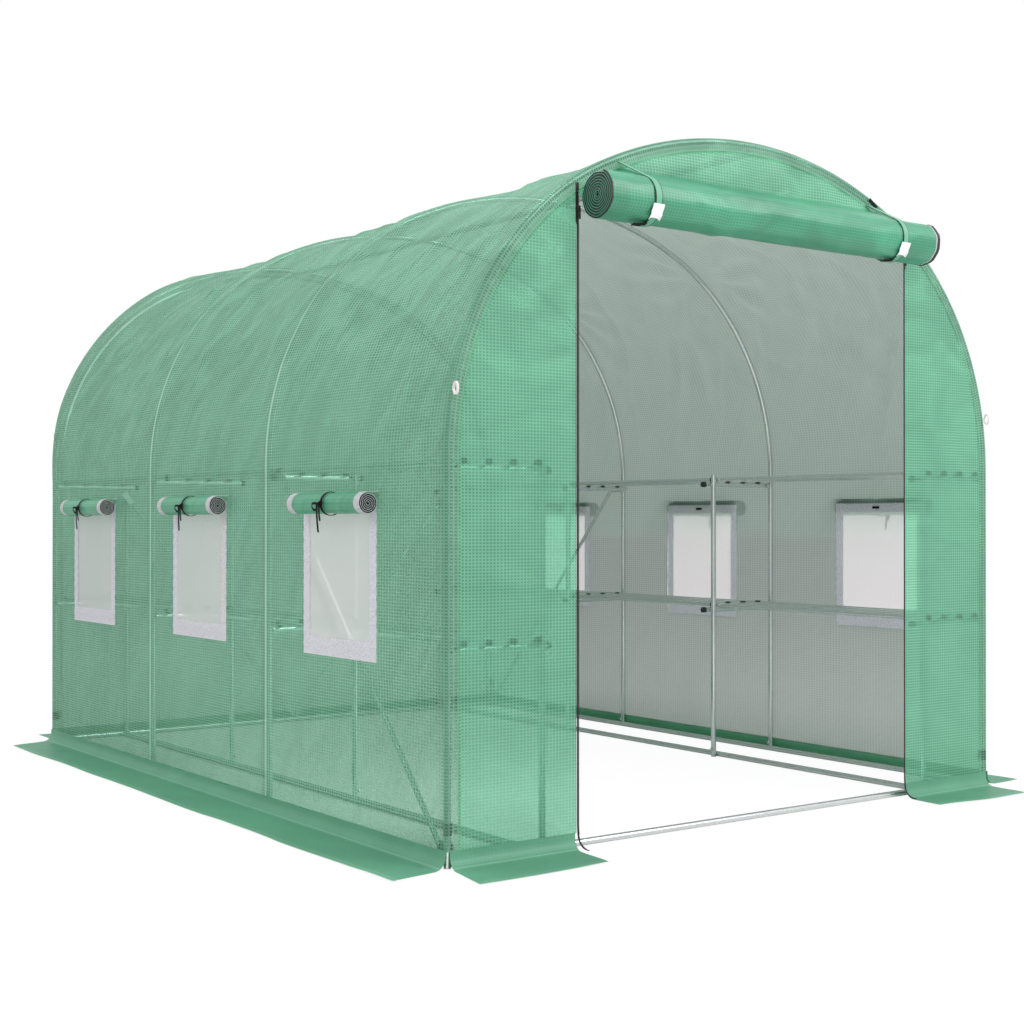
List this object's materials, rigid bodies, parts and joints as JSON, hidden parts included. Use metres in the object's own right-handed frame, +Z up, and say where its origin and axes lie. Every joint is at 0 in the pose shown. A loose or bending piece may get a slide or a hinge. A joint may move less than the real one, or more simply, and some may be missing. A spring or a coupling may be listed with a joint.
{
  "type": "walk-in polytunnel greenhouse",
  "caption": "Arched tube-frame tunnel greenhouse with a woven sheet cover, rolled-up door, screened side windows, ground skirts and rod shelving along both sides.",
  "frame": {"origin": "on the ground, at the middle of the whole outline with its skirts", "axes": "+Z up, +X to the right as seen from outside the door, +Y from the door to the rear wall"},
  "size_m": [2.676, 3.416, 2.1038],
  "materials": {
    "steel": "galvanised, satin",
    "plastic_caps": "matte",
    "cover_sheet": "translucent woven sheet with a reinforcing grid",
    "skirt_sheet": "woven sheet, satin",
    "border_tape": "white woven tape",
    "insect_screen": "fine mesh",
    "black_ribbon": "matte ribbon",
    "strap_webbing": "woven webbing",
    "zip_tape": "zip tape"
  },
  "bodies": {
    "root": {"leg_tubes_left": "steel", "leg_tubes_right": "steel", "shoulder_tubes_left": "steel", "shoulder_tubes_right": "steel", "crown_tubes": "steel", "ridge_tube": "steel", "base_rail_left": "steel", "base_rail_right": "steel", "base_rail_front": "steel", "base_rail_rear": "steel", "inner_rail_left": "steel", "inner_rail_right": "steel", "shelf_posts_left": "steel", "shelf_posts_right": "steel", "crossbars_left": "steel", "crossbars_right": "steel", "shelf_upper_left": "steel", "shelf_upper_right": "steel", "shelf_lower_left": "steel", "shelf_lower_right": "steel", "brace_left": "steel", "brace_right": "steel", "braces_rear": "steel", "crossbar_caps": "plastic_caps", "rod_caps": "plastic_caps", "cover_left": "cover_sheet", "cover_right": "cover_sheet", "cover_roof": "cover_sheet", "front_panel_left": "cover_sheet", "front_panel_right": "cover_sheet", "front_lunette": "cover_sheet", "rear_wall": "cover_sheet", "door_roll": "cover_sheet", "window_rolls": "cover_sheet", "skirt_left": "skirt_sheet", "skirt_right": "skirt_sheet", "skirt_front_left": "skirt_sheet", "skirt_front_right": "skirt_sheet", "skirt_rear": "skirt_sheet", "window_frames": "border_tape", "window_screens": "insect_screen", "window_ties": "black_ribbon", "door_straps": "strap_webbing", "guy_loops": "strap_webbing", "door_zips": "zip_tape"}
  },
  "joints": []
}
